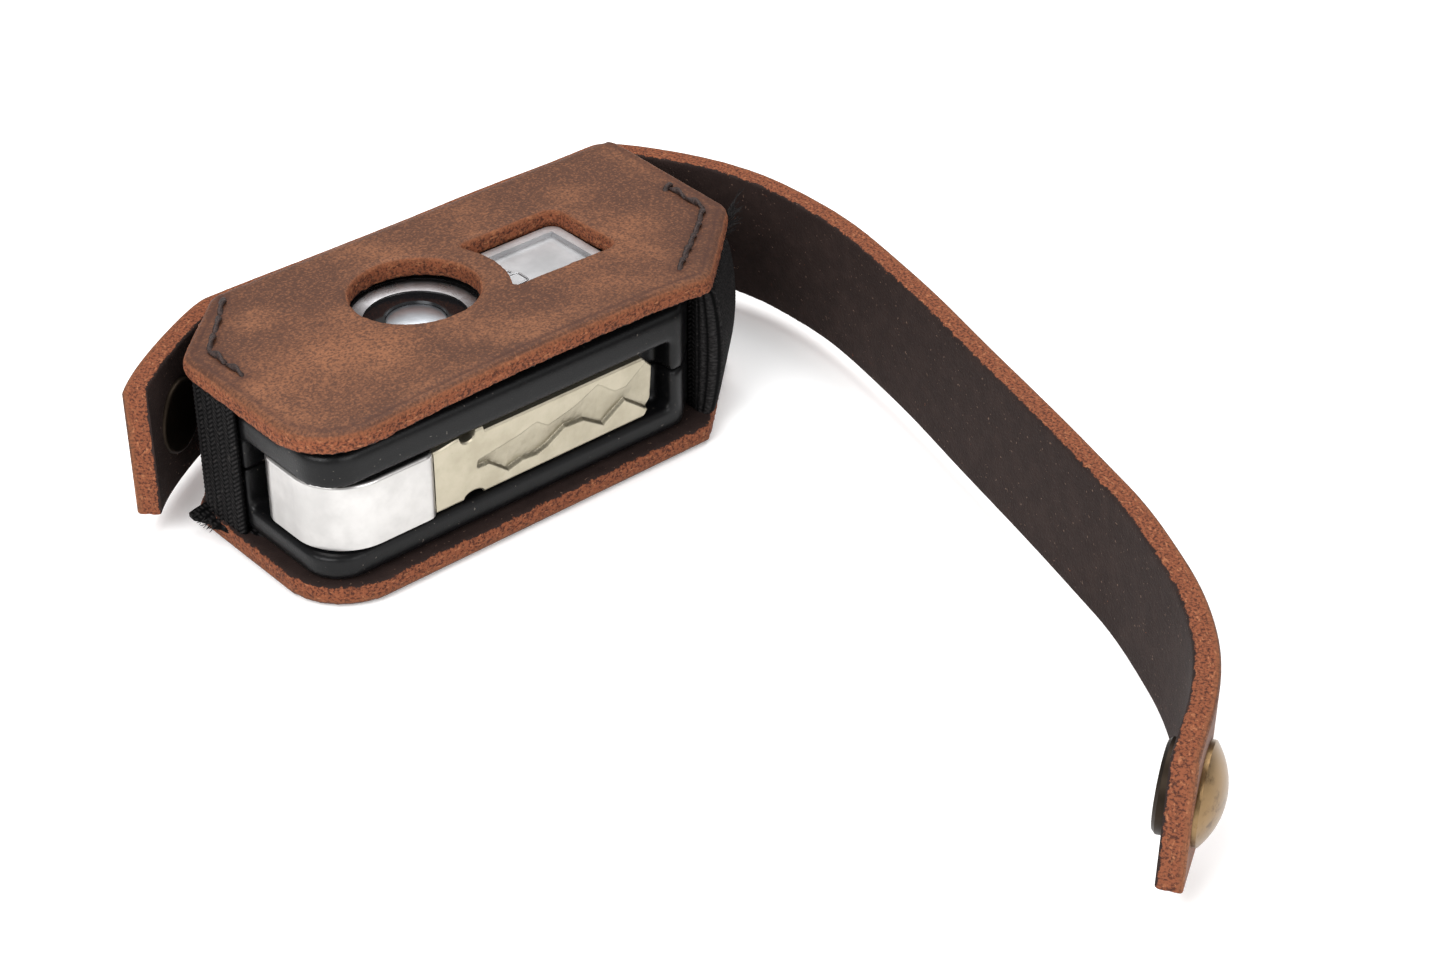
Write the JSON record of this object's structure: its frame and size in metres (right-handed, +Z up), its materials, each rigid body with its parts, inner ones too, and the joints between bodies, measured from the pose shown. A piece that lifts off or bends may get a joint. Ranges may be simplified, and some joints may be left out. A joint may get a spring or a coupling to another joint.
{
  "type": "key organiser",
  "caption": "Folded leather holder for a flip-key remote, with elastic sides, two windows and a snap strap that wraps round the case.",
  "frame": {"origin": "centre of the panel outline's bounding rectangle on the underside of the bottom panel", "axes": "+X along the spine towards the strap root, +Y towards the spine, +Z up"},
  "size_m": [0.0932, 0.1374, 0.0238],
  "materials": {
    "hide": "waxed full-grain hide, matt",
    "strap_hide": "waxed full-grain hide, matt",
    "thread": "waxed thread",
    "elastic": "woven elastic",
    "antique_brass": "antique, domed",
    "dark_brass": "antique, dark",
    "housing": "fine satin texture",
    "gloss_black": "gloss",
    "satin_chrome": "satin",
    "bright_chrome": "polished",
    "nickel": "milled nickel silver",
    "steel": "plain steel",
    "board_green": "solder mask",
    "copper": "enamelled winding",
    "seal": "moulded",
    "capsule": "moulded capsule"
  },
  "bodies": {
    "case": {"antenna_coil": "copper", "badge_dome": "bright_chrome", "badge_ring": "gloss_black", "battery_cell": "steel", "battery_clip": "steel", "battery_cover": "housing", "bezel_ring": "satin_chrome", "circuit_board": "board_green", "cover_o_ring": "seal", "detent_ball": "steel", "detent_spring": "steel", "dome_switch": "steel", "elastic_left": "elastic", "elastic_loop": "elastic", "elastic_right": "elastic", "fob_lower_shell": "housing", "fob_upper_shell": "housing", "housing_screws": "steel", "leather_wrap": "hide", "left_seam_bottom_thread": "thread", "left_seam_top_thread": "thread", "microchip": "capsule", "pivot_pin": "steel", "right_seam_bottom_thread": "thread", "right_seam_top_thread": "thread", "shell_gasket": "seal", "strap_back": "strap_hide", "transponder": "capsule", "trim_plate": "satin_chrome"},
    "flip_key": {"key_blade": "nickel", "blade_hub": "bright_chrome", "roll_pin": "steel"},
    "button": {"unlock_button": "satin_chrome"},
    "tab": {"strap_tab": "strap_hide", "snap_stud": "antique_brass", "snap_post": "dark_brass"},
    "strap_1": {"strap_section_1": "strap_hide"},
    "strap_2": {"strap_section_2": "strap_hide"},
    "strap_3": {"strap_section_3": "strap_hide"},
    "strap_4": {"strap_section_4": "strap_hide"},
    "strap_5": {"strap_section_5": "strap_hide"},
    "strap_6": {"strap_section_6": "strap_hide"},
    "strap_7": {"strap_section_7": "strap_hide"},
    "strap_8": {"strap_section_8": "strap_hide"},
    "strap_9": {"strap_section_9": "strap_hide", "snap_cap": "antique_brass", "snap_socket": "dark_brass"}
  },
  "joints": [
    {"name": "strap_swing", "type": "hinge", "parent": "case", "child": "strap_1", "pos_m": [0.038, 0.0206, 0.01175], "axis": [0, 0, 1], "range_deg": [-29.67, 25]},
    {"name": "strap_bend_2", "type": "hinge", "parent": "strap_1", "child": "strap_2", "pos_m": [0.04507, 0.0084, 0.01175], "axis": [0, 0, 1], "range_deg": [-12.68, 15.04]},
    {"name": "strap_bend_3", "type": "hinge", "parent": "strap_2", "child": "strap_3", "pos_m": [0.04825, -0.00482, 0.01175], "axis": [0, 0, 1], "range_deg": [-25.67, 21.64]},
    {"name": "strap_bend_4", "type": "hinge", "parent": "strap_3", "child": "strap_4", "pos_m": [0.04563, -0.02495, 0.01175], "axis": [0, 0, 1], "range_deg": [-32.41, 27.32]},
    {"name": "strap_curl", "type": "hinge", "parent": "strap_4", "child": "strap_5", "pos_m": [0.02996, -0.07527, 0.01175], "axis": [0, 0, 1], "range_deg": [-24.91, 8]},
    {"name": "strap_bend_6", "type": "hinge", "parent": "strap_5", "child": "strap_6", "pos_m": [0.02827, -0.08061, 0.01175], "axis": [0, 0, 1], "range_deg": [-28.7, 9.25]},
    {"name": "strap_bend_7", "type": "hinge", "parent": "strap_6", "child": "strap_7", "pos_m": [0.02566, -0.08645, 0.01175], "axis": [0, 0, 1], "range_deg": [-9.23, 3]},
    {"name": "strap_bend_8", "type": "hinge", "parent": "strap_7", "child": "strap_8", "pos_m": [0.01987, -0.0973, 0.01175], "axis": [0, 0, 1], "range_deg": [-1.96, 6.01]},
    {"name": "strap_bend_9", "type": "hinge", "parent": "strap_8", "child": "strap_9", "pos_m": [0.01171, -0.10637, 0.01175], "axis": [0, 0, 1], "range_deg": [-39.02, 12.57]},
    {"name": "tab_flex", "type": "hinge", "parent": "case", "child": "tab", "pos_m": [-0.0255, 0.0206, 0.01175], "axis": [0, 0, -1], "range_deg": [-11, 35]},
    {"name": "blade_flip", "type": "hinge", "parent": "case", "child": "flip_key", "pos_m": [-0.0252, -0.0093, 0.011], "axis": [0, 0, -1], "range_deg": [0, 180]},
    {"name": "button_press", "type": "slide", "parent": "case", "child": "button", "axis": [0, 0, -1], "range_m": [0, 0.0004], "stiffness_N_per_m": 500, "springref_m": -0.0004}
  ],
  "couplings": [
    {"joint": "strap_bend_2", "follows": "strap_swing", "ratio": -0.50519},
    {"joint": "strap_bend_3", "follows": "strap_swing", "ratio": 0.86351},
    {"joint": "strap_bend_4", "follows": "strap_swing", "ratio": 1.0909},
    {"joint": "strap_bend_6", "follows": "strap_curl", "ratio": 1.1503},
    {"joint": "strap_bend_7", "follows": "strap_curl", "ratio": 0.36868},
    {"joint": "strap_bend_8", "follows": "strap_curl", "ratio": -0.2393},
    {"joint": "strap_bend_9", "follows": "strap_curl", "ratio": 1.5646}
  ]
}
